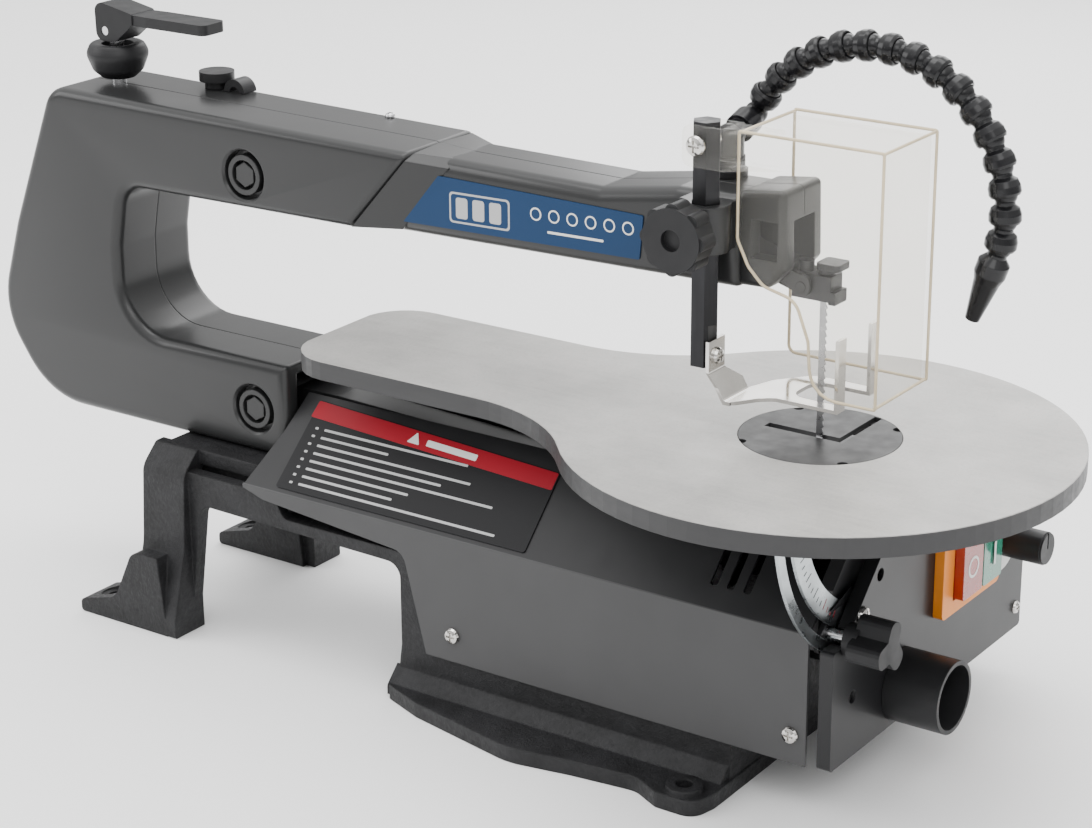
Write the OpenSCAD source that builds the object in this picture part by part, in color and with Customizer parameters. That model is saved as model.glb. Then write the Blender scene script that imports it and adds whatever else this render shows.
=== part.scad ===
// Bench scroll saw, 16 inch class: C-shaped frame, parallel arms, tilting table.
// Row frame: +Z up, blade plane at X = 0, operator at -Y. The origin lies on the bench,
// midway between the two front bench bolts. Modules draw about the point where the blade
// passes the table top, and at_blade() moves them into the row frame.

/* [Frame] */
// Height of the table top above the bench
table_h = 168; // [167:1:170]
// Distance from the front bench bolts forward to the blade
bolt_to_blade = 26; // [24:1:28]
// Half of the frame housing's thickness
frame_half = 30; // [29:0.5:31]
// Wall thickness of the housing shells
shell_wall = 3; // [2.5:0.5:3]
// Distance from the blade back to both arm pivots
pivot_y = 322; // [320:1:324]
// Height of the upper arm pivot above the table top
upper_pivot_z = 83.5; // [83:0.5:84]
// Height of the lower arm pivot, below the table top
lower_pivot_z = -43.5; // [-44:0.5:-43]
// Distance from the blade back to the tension rod
tension_y = 433; // [431:1:435]

/* [Table] */
// Radius of the round front of the table
table_r = 123; // [121:1:124]
// Half width of the table's neck
neck_half = 47.5; // [46:0.5:48]
// Distance from the blade to the back end of the table
table_back = 291; // [288:1:292]
// Depth of the table's rim
rim_depth = 10; // [9:0.5:10]
// Thickness of the table plate
plate_t = 5; // [4.5:0.5:5.5]
// Radius of the round insert
insert_r = 38.5; // [37:0.5:39]

/* [Work holding] */
// Distance of the guide rod to the left of the blade
rod_x = 32; // [31.8:0.1:32.4]
// Distance of the guide rod behind the blade
rod_y = 44.5; // [44:0.5:45]
// Width of the guide rod across its flats
rod_af = 12; // [11:0.5:12]
// Half width of the blade guard
guard_half = 25.4; // [25.2:0.1:25.6]

/* [Drive] */
// Throw of the eccentric
crank_throw = 5; // [4:0.5:5.5]
// Distance of the motor shaft behind the blade
motor_y = 75; // [74:1:76]
// Height of the motor shaft, below the table top
motor_z = -104; // [-105:0.5:-103]
// Radius of the motor body
motor_r = 29; // [27:0.5:30]

/* [Hose] */
// Sideways distance of the air hose from the blade
hose_x = 36; // [35.5:0.5:38]
// Largest radius of a hose segment
hose_r = 7.5; // [7:0.1:7.5]

/* [Hidden] */

$fn = 48;
eps = 0.01;
round_n = 7;
board = [0.16, 0.16, 0.17];
grey = [0.30, 0.30, 0.31];
mid = [0.36, 0.36, 0.37];
black = [0.08, 0.08, 0.085];
steel = [0.72, 0.72, 0.73];
alloy = [0.66, 0.66, 0.66];

// Row position of a point that is drawn about the blade
module at_blade() translate([0, -bolt_to_blade, table_h]) children();

// ---- outline helpers: points are [u, v, corner radius] ----
function unit2(v) = v / norm(v);
function turn2(a, b) = a[0] * b[1] - a[1] * b[0];
function corner(p, a, b, n) =
  let (u = unit2([a[0] - p[0], a[1] - p[1]]), w = unit2([b[0] - p[0], b[1] - p[1]]),
       half = acos(max(-1, min(1, u * w))) / 2)
  (p[2] < 0.05 || half > 89) ? [[p[0], p[1]]] :
  let (t = p[2] / tan(half), c = [p[0], p[1]] + unit2(u + w) * p[2] / sin(half),
       s = [p[0], p[1]] + u * t - c, e = [p[0], p[1]] + w * t - c,
       a0 = atan2(s[1], s[0]), d0 = atan2(e[1], e[0]) - a0,
       d = d0 > 180 ? d0 - 360 : d0 < -180 ? d0 + 360 : d0)
  [for (i = [0:n]) c + p[2] * [cos(a0 + d * i / n), sin(a0 + d * i / n)]];
function rounded(P, n = round_n) =
  let (m = len(P)) [for (i = [0:m - 1]) each corner(P[i], P[(i + m - 1) % m], P[(i + 1) % m], n)];
// Counter-clockwise outline moved inwards by d
function inset(P, d) = let (m = len(P)) [for (i = [0:m - 1])
  let (a = P[(i + m - 1) % m], p = P[i], b = P[(i + 1) % m],
       e = unit2([p[0] - a[0], p[1] - a[1]]), f = unit2([b[0] - p[0], b[1] - p[1]]),
       k = turn2(e, f), ne = [-e[1], e[0]], nf = [-f[1], f[0]],
       q = [p[0], p[1]] + d * (ne + nf) / (1 + ne * nf))
  [q[0], q[1], k > 0 ? max(p[2] - d, 0) : p[2] + (p[2] > 0 ? d : 0)]];
function arc(c, r, a0, a1, n) = [for (i = [0:n])
  c + r * [cos(a0 + (a1 - a0) * i / n), sin(a0 + (a1 - a0) * i / n)]];

// Extrudes an outline given in Y and Z along X, from x0 to x1
module slab_x(x0, x1) translate([x0, 0, 0]) rotate([90, 0, 90]) linear_extrude(x1 - x0) children();
// Extrudes an outline given in X and Z along Y, from y0 to y1
module slab_y(y0, y1) translate([0, y1, 0]) rotate([90, 0, 0]) linear_extrude(y1 - y0) children();
// Extrudes an outline given in X and Y along Z, from z0 to z1
module slab_z(z0, z1) translate([0, 0, z0]) linear_extrude(z1 - z0) children();
module box(lo, hi) translate(lo) cube(hi - lo);
module rod_along_x(x0, x1, y, z, r) translate([x0, y, z]) rotate([0, 90, 0]) cylinder(h = x1 - x0, r = r);
module rod_along_y(y0, y1, x, z, r) translate([x, y1, z]) rotate([90, 0, 0]) cylinder(h = y1 - y0, r = r);
module mirror_pair() { children(); mirror([1, 0, 0]) children(); }
module round_rect(x0, y0, x1, y1, r) polygon(rounded([[x0, y0, r], [x1, y0, r], [x1, y1, r], [x0, y1, r]]));

// Pan-head cross screw; its head stands on the plane it is drawn on, along +Z
module pan_screw(r = 3.6, h = 2.4, shank = 6) {
  difference() {
    rotate_extrude() polygon([[0, 0], [r, 0], [r, h * 0.35], [r * 0.86, h * 0.75], [r * 0.5, h], [0, h]]);
    for (a = [0, 90]) rotate([0, 0, a]) translate([-r * 0.6, -0.5, h * 0.45]) cube([r * 1.2, 1, h]);
  }
  translate([0, 0, -shank]) cylinder(h = shank + eps, r = r * 0.5);
}
module facing_left() rotate([0, -90, 0]) children();
module facing_right() rotate([0, 90, 0]) children();
module facing_front() rotate([90, 0, 0]) children();

// ---- base casting ----
bench_z = -table_h;
deck_z = -89;
seat_z = -67.5;
wall_x = 54;
arch_y0 = 208;
arch_y1 = 347;
ear_x = 74;
ear_y = 26;
heel_x = 57;
heel_y = 404;
bolt_r = 4.25;
flange_h = 8;
module flange_half()
  polygon(rounded([[eps, 13, 0], [-60, 12, 3], [-70, 12, 6], [-84, 15, 9], [-84, 36, 6], [-76, 52, 14],
    [-80, 86, 40], [-86, 120, 40], [-72, 186, 20], [-62, 212, 5], [-50, 212, 0], [-50, 24, 6], [eps, 24, 0]]));
// Side wall with its arch, as Y and Z
side_wall = [[13, bench_z, 0], [212, bench_z, 2], [arch_y0, -140, 6], [arch_y0, -96, 8],
  [arch_y1 - 6, -94, 8], [arch_y1 + 2, -150, 6], [arch_y1 + 2, bench_z, 0], [388, bench_z, 0],
  [376, -120, 30], [372, -84, 9], [360, -77, 3], [290, -77, 3], [284, deck_z, 6], [13, deck_z, 3]];
module heel() {
  // One rear leg with its bench foot
  slab_y(arch_y1 + 2, 378)
    polygon(rounded([[-46, seat_z, 3], [-57, -78, 10], [-60, -120, 30], [-70, -158, 3], [-70, bench_z, 1],
      [-48, bench_z, 1], [-48, -84, 8], [-40, -76, 0], [-40, seat_z, 0]]));
  difference() {
    slab_x(-70, -44)
      polygon(rounded([[arch_y1 + 8, bench_z, 0], [418, bench_z, 2], [418, -161, 3], [392, -154, 12],
        [378, -124, 8], [360, -124, 0]]));
    translate([-heel_x, heel_y, bench_z - 1]) cylinder(h = 30, r = bolt_r);
    translate([-heel_x, heel_y, -160]) cylinder(h = 40, r = 8);
  }
}
module base_casting() at_blade() color(black) difference() {
  union() {
    mirror_pair() {
      slab_z(bench_z, bench_z + flange_h) flange_half();
      slab_x(-wall_x, -wall_x + 7) polygon(rounded(side_wall));
      slab_y(14, 212) polygon(rounded([[-wall_x + 1, -152, 0], [-62, bench_z + 7, 3],
        [-62, bench_z + 2, 0], [-wall_x + 1, bench_z + 2, 0]]));
      translate([-ear_x, ear_y, bench_z]) cylinder(h = 11, r = 9);
      heel();
      // Seat bosses that hold the frame shells
      box([-40, 296, seat_z - 20], [-30, 372, seat_z]);
    }
    box([-wall_x + 2, 13, bench_z], [wall_x - 2, 20, deck_z - 4]);
    box([-wall_x + 2, 14, deck_z - 6], [wall_x - 2, 288, deck_z]);
    box([-44, 284, seat_z - 8], [44, 372, seat_z]);
    box([-48, 284, -96], [48, 290, seat_z - 2]);
    box([-46, 366, -112], [46, 373, seat_z - 2]);
  }
  for (s = [-1, 1]) translate([s * ear_x, ear_y, bench_z - 1]) cylinder(h = 30, r = bolt_r);
  // Well for the eccentric and the drive link
  box([-2, motor_y - 28, -135], [34, motor_y + 28, deck_z + 5]);
  // Opening for the motor through the deck and the right wall
  rod_along_x(20, 70, motor_y, motor_z, motor_r + 2);
  box([20, motor_y - motor_r - 2, motor_z], [70, motor_y + motor_r + 2, deck_z + 5]);
}

// ---- C frame housing ----
frame_outline = [[212, 109.5, 3], [252.7, 66.3, 4], [407, 64.5, 14], [413.5, 30, 20], [414, -16.5, 30],
  [300, -16.5, 2], [300, -67.5, 2], [474, -67.5, 48], [507, -20, 45], [490, 33, 80], [458, 112.5, 16]];
arm_half = 22;
arm_outline = [[34, 70.5, 3], [262, 65.8, 0], [262, 108.3, 0], [110, 107, 12], [68, 113.5, 12], [34, 114, 4]];
module frame_solid(d)  {
  slab_x(-frame_half + d, frame_half - d) polygon(rounded(inset(frame_outline, d)));
  slab_x(-arm_half + d, arm_half - d) polygon(rounded(inset(arm_outline, d)));
}
module frame_hollow() {
  frame_solid(shell_wall);
  // Way from the wide part into the forward arm
  slab_x(-arm_half + shell_wall, arm_half - shell_wall)
    polygon([[200, 70], [270, 69.5], [270, 104], [200, 104]]);
}
// Forked nose of the forward arm, inside the guard
nose_half = 18;
nose_outline = [[36, 71.5, 2], [36, 116, 3], [12, 119, 3], [11, 82, 3], [20, 72, 6]];
module frame_shell() intersection() {
  box([-60, -100, -200], [0, 700, 300]);
  difference() {
    union() {
      difference() {
        frame_solid(0);
        frame_hollow();
      }
      slab_x(-nose_half, 0) polygon(rounded(nose_outline));
      // Bosses that carry the pivot pins
      for (z = [upper_pivot_z, lower_pivot_z]) rod_along_x(-frame_half + 6, -13, pivot_y, z, 15.5);
    }
    for (z = [upper_pivot_z, lower_pivot_z]) {
      rod_along_x(-frame_half - 1, -frame_half + 7, pivot_y, z, 14);
      rod_along_x(-frame_half, 1, pivot_y, z, 6.03);
    }
    // Slot for the tension rod
    translate([0, tension_y, 60]) cylinder(h = 80, r = 9);
    // Window and mouth of the nose, for the arm's tip
    box([-9.5, 5, 60], [9.5, 63, 104]);
    // Front mouth of the lower arm
    box([-20, 290, -60], [20, 306, -22]);
  }
}
module frame_shell_left() at_blade() color(grey) difference() {
  frame_shell();
  // Opening in the near side of the nose
  slab_x(-20, -9) polygon(rounded([[15, 86, 2], [29, 86, 2], [29, 104, 2], [15, 104, 2]]));
}
module frame_shell_right() at_blade() color(grey) difference() {
  mirror([1, 0, 0]) frame_shell();
  for (p = shell_screws) rod_along_x(20, 40, p[0], p[1], 1.8);
  for (p = nose_screws) rod_along_x(15, 40, p[0], p[1], 1.6);
}

module frame_pivot_pins() at_blade() color(steel)
  for (z = [upper_pivot_z, lower_pivot_z]) {
    rod_along_x(-frame_half + 3, frame_half - 3, pivot_y, z, 6);
    translate([-frame_half + 5, pivot_y, z]) facing_left() cylinder(h = 3.5, r = 6.6, $fn = 6);
    translate([frame_half - 5, pivot_y, z]) facing_right() cylinder(h = 3.5, r = 6.6, $fn = 6);
  }
// Ring washers that sit in the round recesses
module pivot_caps() at_blade() color(board) mirror_pair()
  for (z = [upper_pivot_z, lower_pivot_z]) difference() {
    rod_along_x(-frame_half + 0.8, -frame_half + 7, pivot_y, z, 10.5);
    rod_along_x(-frame_half, -frame_half + 8, pivot_y, z, 7.8);
  }
shell_screws = [[276, 90], [440, 88], [452, -40], [350, -55]];
nose_screws = [[92, 90], [180, 90]];
module frame_screws() at_blade() color(steel) {
  for (p = shell_screws) translate([frame_half, p[0], p[1]]) facing_right() pan_screw(3.6, 2.2, 16);
  for (p = nose_screws) translate([arm_half, p[0], p[1]]) facing_right() pan_screw(3.2, 2, 11);
  translate([24, 268, 110.35]) pan_screw(2.6, 2.2, 0);
}
module arm_label() at_blade() color([0.05, 0.17, 0.33])
  slab_x(-arm_half - 0.8, -arm_half) polygon(rounded([[228, 73, 1], [86, 76.5, 1], [84, 98, 1], [203, 99.5, 1]]));

// ---- covers ----
cover_x = 56;
sheet = 1.5;
ridge_z = -74;
function vent_y(i) = 8 + 9 * i;
// The cover is one folded sheet: a vertical side and a slope that rises inwards
slope_len = 58;
slope_dx = slope_len * cos(45);
fold = [[-cover_x, -140.5], [-cover_x, ridge_z], [-cover_x + slope_dx, ridge_z + slope_dx],
  [-cover_x + slope_dx + 1.06, ridge_z + slope_dx - 1.06], [-cover_x + sheet, ridge_z - 0.62], [-cover_x + sheet, -140.5]];
module slope_frame() translate([-cover_x, 0, ridge_z]) rotate([0, 45, 0]) children();
module side_cover() at_blade() color(mid) difference() {
  slab_y(-28, 309) polygon(fold);
  // Lower edge of the side, rising towards the back
  slab_x(-60, -50) polygon(rounded([[191, -150, 0], [191, -140.5, 5], [204.5, -88, 8],
    [296, -80, 4], [310, -75.5, 0], [330, -75.5, 0], [330, -150, 0]]));
  // Slanting ends of the slope
  slope_frame() slab_x(-4, 6) polygon([[-40, 12], [-25.5, 12], [6, slope_len - 2], [6, 70], [-40, 70]]);
  slope_frame() slab_x(-4, 6) polygon([[308, 1], [299.3, 34], [296, slope_len], [296, 70], [340, 70], [340, 1]]);
  slope_frame() for (i = [0:2]) slab_x(-2, 4)
    polygon(rounded([[vent_y(i), 12, 1.4], [vent_y(i) + 4, 12, 1.4], [vent_y(i) + 4, 34, 1.4], [vent_y(i), 34, 1.4]]));
  for (p = [[174, -126], [-20, -126]]) rod_along_x(-cover_x - 1, -cover_x + 3, p[0], p[1], 2.3);
}
module warning_panel() at_blade() color(board) slope_frame() slab_x(-0.7, 0)
  polygon(rounded([[131, 3, 1.5], [288, 3, 1.5], [286, 55, 1.5], [131, 47.5, 1.5]]));

panel_y0 = -41;
panel_y1 = -34;
panel_right = 144;
// Outline of the front panel, as X and Z
panel_outline = [[-cover_x, -140, 2], [panel_right, -140, 2], [panel_right, -48, 3], [30, -40, 3],
  [-6, -40, 3], [-46, -80, 4], [-cover_x, -80, 2]];
port_x = 10.5;
port_z = -120.5;
port_r = 18;
port_neck_r = 17;
port_bore = 15.8;
module front_panel() at_blade() color(board) difference() {
  slab_y(panel_y0, panel_y1) polygon(rounded(panel_outline));
  // Hollow back of the tray-shaped panel
  slab_y(panel_y0 + 2, panel_y1 + 1) polygon(rounded(inset(panel_outline, 2.5)));
  rod_along_y(panel_y0 - 1, panel_y1, port_x, port_z, port_neck_r + 0.05);
  rod_along_y(panel_y0 - 1, panel_y1, -13, -56, 3.2);
  rod_along_y(panel_y0 - 1, panel_y1, -36, -109, 3.2);
  rod_along_y(panel_y0 - 1, panel_y1, lock_p[0], lock_p[1], 4.4);
  rod_along_y(panel_y0 - 1, panel_y1, knob_x, knob_z, 4);
  box([switch_x0 + 5, panel_y0 - 1, switch_z0 + 4], [switch_x1 - 5, panel_y1, switch_z1 - 4]);
}
cover_right = panel_right - 1;
module motor_cover() at_blade() color(mid) difference() {
  slab_y(panel_y1 + 0.1, 160)
    polygon(rounded([[wall_x + 0.5, -136.5, 1], [cover_right, -136.5, 5], [cover_right, -58, 12], [126, -47, 6], [wall_x + 0.5, -47, 1]]));
  slab_y(panel_y1, 158)
    polygon(rounded([[wall_x - 2, -134.5, 1], [cover_right - 2, -134.5, 4], [cover_right - 2, -59, 11], [125, -49, 5], [wall_x - 2, -49, 1]]));
  for (i = [0:6]) box([cover_right - 3, 50 + i * 9, -122], [cover_right + 1, 54 + i * 9, -84]);
  for (i = [0:5]) box([72 + i * 9, 155, -104], [76 + i * 9, 162, -72]);
  rod_along_y(150, 170, 100, -118, 6.5);
}
module cover_screws() at_blade() color(steel) {
  for (p = [[174, -126], [-20, -126]]) translate([-cover_x, p[0], p[1]]) facing_left() pan_screw(4.2, 2.6, 1.4);
  translate([panel_right - 7, panel_y0, -128]) facing_front() pan_screw(3.4, 2.2, 0);
  translate([panel_right - 7, panel_y0, -58]) facing_front() pan_screw(3.4, 2.2, 0);
  translate([-30, panel_y0, -70]) facing_front() pan_screw(4.4, 3, 0);
}

// ---- motor and drive ----
motor_x0 = 36;
motor_x1 = 132;
shaft_r = 5;
module motor_body() at_blade() color(board) difference() {
  union() {
    rod_along_x(motor_x0 + 12, motor_x1 - 14, motor_y, motor_z, motor_r - 2);
    rod_along_x(motor_x0, motor_x0 + 14, motor_y, motor_z, motor_r);
    rod_along_x(motor_x1 - 16, motor_x1, motor_y, motor_z, motor_r);
    for (a = [0:30:330]) translate([motor_x0 + 10, motor_y, motor_z]) rotate([a, 0, 0])
      translate([0, -1.2, motor_r - 4]) cube([motor_x1 - motor_x0 - 22, 2.4, 4]);
    box([motor_x0 + 20, motor_y - 22, -134.5], [motor_x1 - 24, motor_y + 22, motor_z - 18]);
  }
  rod_along_x(motor_x0 - 1, motor_x1 + 1, motor_y, motor_z, shaft_r + 0.05);
}
module motor_shaft() at_blade() color(steel) {
  rod_along_x(24, motor_x1 + 2, motor_y, motor_z, shaft_r);
}
// Disc with a balance weight and the crank pin
module eccentric() at_blade() color(steel) {
  difference() {
    union() {
      rod_along_x(21, 30, motor_y, motor_z, 12);
      slab_x(22, 29) polygon(concat([[motor_y, motor_z]], arc([motor_y, motor_z], 20, 210, 330, 12)));
    }
    rod_along_x(24, 31, motor_y, motor_z, shaft_r);
  }
  rod_along_x(9, 21 + eps, motor_y, motor_z + crank_throw, 4);
}
link_z = -56;
module drive_link() at_blade() color(alloy) difference() {
  union() {
    rod_along_x(10, 17, motor_y, motor_z, 20);
    rod_along_x(10, 17, motor_y, link_z, 8);
    box([10, motor_y - 5, motor_z + 16], [17, motor_y + 5, link_z - 5]);
  }
  rod_along_x(9, 18, motor_y, motor_z, 15.5);
  rod_along_x(9, 18, motor_y, link_z, 3.05);
}
module control_box() at_blade() color(board) {
  box([62, -30, -128], [128, 20, -112]);
  box([66, -30, -112], [84, -14, -100]);
  rod_along_y(-30, 10, 112, -104, 8);
}

// ---- switch and speed control ----
switch_x0 = 43;
switch_x1 = 105;
switch_z0 = -100;
switch_z1 = -55;
plate_y = panel_y0 - 5;
module switch_plate() at_blade() color([0.85, 0.5, 0.12]) difference() {
  union() {
    slab_y(plate_y, panel_y0) round_rect(switch_x0, switch_z0, switch_x1, switch_z1, 3);
    box([switch_x0 + 6, panel_y0 - eps, switch_z0 + 5], [switch_x1 - 6, -20, switch_z1 - 5]);
  }
  box([switch_x0 + 11, plate_y - 1, switch_z0 + 7], [switch_x1 - 8, -36, switch_z1 - 7]);
}
button_gap = 0.6;
module button(x0, x1) difference() {
  slab_y(plate_y - 5, -39)
    round_rect(x0, switch_z0 + 7 + button_gap, x1, switch_z1 - 7 - button_gap, 1.5);
  children();
}
module red_button() at_blade() color([0.7, 0.1, 0.1]) button(switch_x0 + 11 + button_gap, 75.2)
  difference() {
    rod_along_y(plate_y - 6, plate_y - 4.4, 64.9, -77.5, 5.6);
    rod_along_y(plate_y - 7, plate_y - 3, 64.9, -77.5, 4.2);
  }
module green_button() at_blade() color([0.1, 0.4, 0.3]) button(76.4, switch_x1 - 8 - button_gap)
  box([85.5, plate_y - 6, -83.5], [87.3, plate_y - 4.4, -71.5]);
knob_x = 117;
knob_z = -83;
module speed_dial() at_blade() color([0.8, 0.8, 0.8]) difference() {
  slab_y(panel_y0 - 0.8, panel_y0) difference() {
    translate([knob_x, knob_z]) circle(r = 17);
    translate([knob_x, knob_z]) circle(r = 4.2);
    translate([switch_x1 - 30, knob_z - 30]) square([30.5, 60]);
  }
  for (a = [-120:30:120]) translate([knob_x, panel_y0, knob_z]) rotate([0, a, 0])
    translate([-0.4, -1.5, 13]) cube([0.8, 1.1, 2.6]);
}
module speed_knob() at_blade() color(black) difference() {
  union() {
    rod_along_y(panel_y0 - 25, panel_y0 - 1.4, knob_x, knob_z, 8);
    rod_along_y(panel_y0 - 24, panel_y0 - 3, knob_x, knob_z, 8.5);
    rod_along_y(panel_y0 - 2, panel_y1 + 6, knob_x, knob_z, 3);
  }
  box([knob_x - 0.6, panel_y0 - 26, knob_z], [knob_x + 0.6, panel_y0 - 24.2, knob_z + 9]);
}
module dust_port() at_blade() color(black) difference() {
  union() {
    rod_along_y(panel_y0 - 29, panel_y0 - 0.2, port_x, port_z, port_r);
    rod_along_y(panel_y0 - 1, panel_y1 + 6, port_x, port_z, port_neck_r);
    rod_along_y(panel_y1 + 0.1, panel_y1 + 4, port_x, port_z, port_r + 1);
    translate([port_x, panel_y1 + 6, port_z]) rotate([-66, 0, 0]) cylinder(h = 20, r = 15);
  }
  rod_along_y(panel_y0 - 30, panel_y1 + 7, port_x, port_z, port_bore);
  translate([port_x, panel_y1 + 6, port_z]) rotate([-66, 0, 0]) cylinder(h = 22, r = 13);
}
module cable_gland() at_blade() color(black) difference() {
  union() {
    rod_along_y(160, 166, 100, -118, 9);
    rod_along_y(154, 172, 100, -118, 6.5);
  }
  rod_along_y(150, 180, 100, -118, 3.6);
}

// ---- air blower ----
tube_r = 1.8;
module air_bellows() at_blade() color(black) {
  for (i = [0:3]) translate([0, 362, -33 + i * 3.4]) cylinder(h = 2.2, r = 10);
  translate([0, 362, -33.4]) cylinder(h = 13.6, r = 7.5);
}
module air_tube() at_blade() color([0.55, 0.55, 0.5]) {
  rod_along_x(10.1, 15, 362, -24, tube_r);
  translate([15, 362, -24]) sphere(r = tube_r);
  rod_along_y(362, 446, 15, -24, tube_r);
  translate([15, 446, -24]) sphere(r = tube_r);
  translate([15, 446, -24]) cylinder(h = 125, r = tube_r);
  translate([15, 446, 101]) sphere(r = tube_r);
  rod_along_y(59, 446, 15, 101, tube_r);
}
module top_cap() at_blade() color(black) {
  translate([21, 382, 111.75]) {
    cylinder(h = 5, r = 6.5);
    translate([0, 0, 4]) cylinder(h = 5, r = 9.5);
  }
  translate([21, 366, 111.75]) difference() {
    rod_along_x(-5, 5, 0, 0, 7);
    rod_along_x(-6, 6, 0, 0, 3);
    box([-7, -9, -9], [7, 9, 0.01]);
  }
}

// ---- arms, rods and clamps ----
arm_t = 8;
tip_y = 8;
upper_tip_z = upper_pivot_z - 10.5;
lower_tip_z = lower_pivot_z - 10.5;
module arm_plate(pz, tz, low_front, high_front, low_mid, high_mid) difference() {
  union() {
    slab_x(-arm_t, arm_t)
      polygon(rounded([[pivot_y + 16, pz - 8, 3], [pivot_y + 16, pz + 8, 3], [pivot_y - 40, pz + 9, 0],
        [60, high_mid, 8], [30, high_front, 4], [16, high_front - 3, 2], [16, low_front, 2], [60, low_mid, 8],
        [pivot_y - 40, pz - 9, 0]]));
    rod_along_x(-arm_t - 3, arm_t + 3, pivot_y, pz, 14);
    slab_x(-arm_t, arm_t) polygon([[pivot_y, pz - 8], [tension_y, pz - 6], [tension_y, pz + 6], [pivot_y, pz + 8]]);
    rod_along_x(-arm_t, arm_t, tension_y, pz, 9);
    // Fork cheeks for the blade clamp
    for (s = [-1, 1]) slab_x(s * 7 - 1, s * 7 + 1)
      polygon(rounded([[24, low_front, 0], [24, high_front - 3, 0], [tip_y - 4, tz + 5, 3], [tip_y - 5, tz - 5, 3]]));
  }
  rod_along_x(-arm_t - 4, arm_t + 4, pivot_y, pz, 9);
  rod_along_x(-arm_t - 4, arm_t + 4, tip_y, tz, 2.5);
  rod_along_x(-arm_t - 4, arm_t + 4, tension_y, pz, 4.05);
  box([-5, tension_y - 12, pz - 14], [5, tension_y + 12, pz + 14]);
}
module upper_arm() at_blade() color(alloy) {
  arm_plate(upper_pivot_z, upper_tip_z, upper_tip_z + 1, upper_tip_z + 12, 80.5, 94);
  rod_along_x(-arm_t - 0.5, arm_t + 0.5, tip_y, upper_tip_z, 2.5);
}
module lower_arm() at_blade() color(alloy) {
  difference() {
    arm_plate(lower_pivot_z, lower_tip_z, lower_tip_z - 5, lower_tip_z + 8, lower_tip_z - 3, lower_pivot_z + 2);
    rod_along_x(-arm_t - 1, arm_t + 1, motor_y, link_z, 3);
  }
  rod_along_x(-arm_t - 0.5, arm_t + 0.5, tip_y, lower_tip_z, 2.5);
  rod_along_x(-arm_t, 19, motor_y, link_z, 3);
  rod_along_x(-arm_t, arm_t, tension_y, lower_pivot_z, 4);
}
module bush(z) difference() {
  rod_along_x(-arm_t - 3, arm_t + 3, pivot_y, z, 9);
  rod_along_x(-arm_t - 4, arm_t + 4, pivot_y, z, 6.05);
}
module arm_bushes() at_blade() color([0.7, 0.5, 0.2]) bush(upper_pivot_z);
module lower_arm_bush() at_blade() color([0.7, 0.5, 0.2]) bush(lower_pivot_z);

collar_z = 115.4;
lever_z = collar_z + 26;
module tension_rod() at_blade() color(steel) {
  difference() {
    union() {
      translate([0, tension_y, lower_pivot_z]) cylinder(h = lever_z - lower_pivot_z, r = 4);
      rod_along_x(-4.2, 4.2, tension_y, lever_z, 5.5);
      translate([0, tension_y, lower_pivot_z]) sphere(r = 7.5);
      rod_along_x(-4.4, 4.4, tension_y, upper_pivot_z, 7.5);
    }
    rod_along_x(-9, 9, tension_y, lower_pivot_z, 4.4);
    rod_along_x(-9, -4.5, tension_y, lower_pivot_z, 9);
    rod_along_x(4.5, 9, tension_y, lower_pivot_z, 9);
    rod_along_x(-9, 9, tension_y, upper_pivot_z, 4.05);
  }
  rod_along_x(-arm_t, arm_t, tension_y, upper_pivot_z, 4);
  rod_along_x(-8.5, 8.5, tension_y, lever_z, 2.5);
}
module tension_spring() at_blade() color(steel) for (i = [0:6])
  translate([0, tension_y, 8 + i * 6]) rotate_extrude($fn = 32) translate([5.9, 0]) circle(r = 1.5, $fn = 16);
collar_profile = rounded([[4.3, 0, 0], [9, 0, 1], [13.5, 4, 4], [17, 13, 6], [14, 19, 3], [8.5, 18, 0], [8.5, 12, 0], [4.3, 12, 0]], 4);
module tension_collar() at_blade() color(board) translate([0, tension_y, collar_z])
  rotate_extrude($fn = 64) polygon(collar_profile);
module tension_lever() at_blade() color(grey) translate([0, tension_y, lever_z]) difference() {
  union() {
    slab_x(-9, 9) polygon(rounded([[-7, -5.5, 5], [6, -5.5, 5], [6.5, 16, 5], [-20, 11, 2], [-20, 5, 2]]));
    slab_z(5, 10.5)
      polygon(rounded([[-8, -15, 0], [8, -15, 0], [9, -30, 6], [9, -70, 4], [-9, -70, 4], [-9, -30, 6]]));
  }
  rod_along_x(-10, 10, 0, 0, 2.55);
  box([-4.7, -6, -30], [4.7, 20, 6]);
}

module upper_blade_clamp() at_blade() color(board) difference() {
  union() {
    box([-5.5, -6, 67], [5.5, 14, 79]);
    box([-5.5, -8.5, 66], [5.5, -5, 72]);
    translate([0, 9.5, 79]) cylinder(h = 5, r = 3.6);
  }
  rod_along_x(-7, 7, tip_y, upper_tip_z, 2.6);
  box([-0.5, -4, 60], [0.5, 4.5, 81]);
  translate([0, -1, 76]) cylinder(h = 5, r = 1.7);
}
module clamp_thumb_tab() at_blade() color(steel) {
  translate([0, -1, 79.2]) cylinder(h = 3, r = 4);
  translate([0, -1, 76.2]) cylinder(h = 4, r = 1.6);
  slab_z(82, 85) polygon(rounded([[-6, -10, 2], [6, -10, 2], [6, 2, 2], [-6, 2, 2]]));
}
module lower_blade_clamp() at_blade() color(board) difference() {
  union() {
    box([-5.5, -6, -60], [5.5, 14, -48]);
    rod_along_x(-11, -5.5 + eps, -1, -54, 4);
    rod_along_x(-14, -11 + eps, -1, -54, 5.5);
  }
  rod_along_x(-7, 7, tip_y, lower_tip_z, 2.6);
  box([-0.5, -4, -62], [0.5, 4.5, -46]);
}
tooth = 1.4;
blade_teeth = 38;
module blade() at_blade() color(steel) slab_x(-0.25, 0.25)
  polygon(concat([[2, -58], [2, 75]], [for (i = [0:blade_teeth]) each
    [[-0.9, 75 - i * 3.4], [-1.9, 72.6 - i * 3.4]]], [[-0.9, -58]]));

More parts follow.
